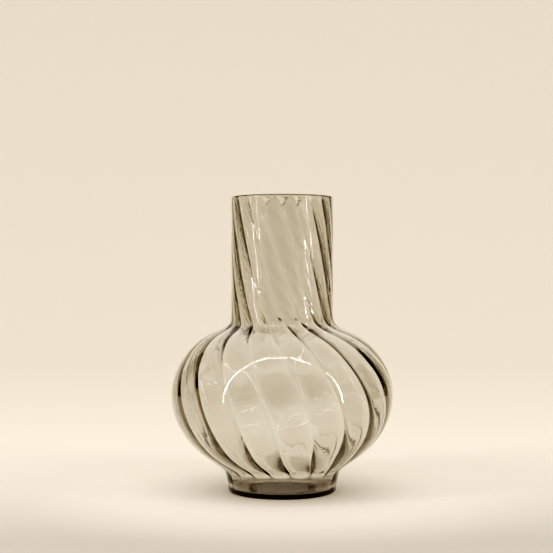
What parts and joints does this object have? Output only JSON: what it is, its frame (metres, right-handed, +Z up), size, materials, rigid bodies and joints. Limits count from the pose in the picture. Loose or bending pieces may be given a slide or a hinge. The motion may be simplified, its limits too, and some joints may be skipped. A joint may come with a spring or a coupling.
{
  "type": "glass bulb vase",
  "caption": "Blown smoke-glass table vase: oblate bulb on a low foot, straight wide open neck, and twisted optic ribs inside the wall.",
  "frame": {"origin": "centre of the base, on the surface the vase stands on", "axes": "+Z up along the vase's axis; X and Y are free, as the outline is round"},
  "size_m": [0.181, 0.181, 0.24],
  "materials": {
    "base_glass": "smoke-brown glass, darkest along its edge, fire-polished, clear gloss",
    "bulb_glass": "thin smoke-grey blown glass, clear gloss",
    "neck_glass": "thin smoke-grey blown glass with ribs, clear gloss"
  },
  "bodies": {
    "root": {"base_disc": "base_glass", "foot_wall": "base_glass", "bulb": "bulb_glass", "neck": "neck_glass", "lip": "neck_glass"}
  },
  "joints": []
}
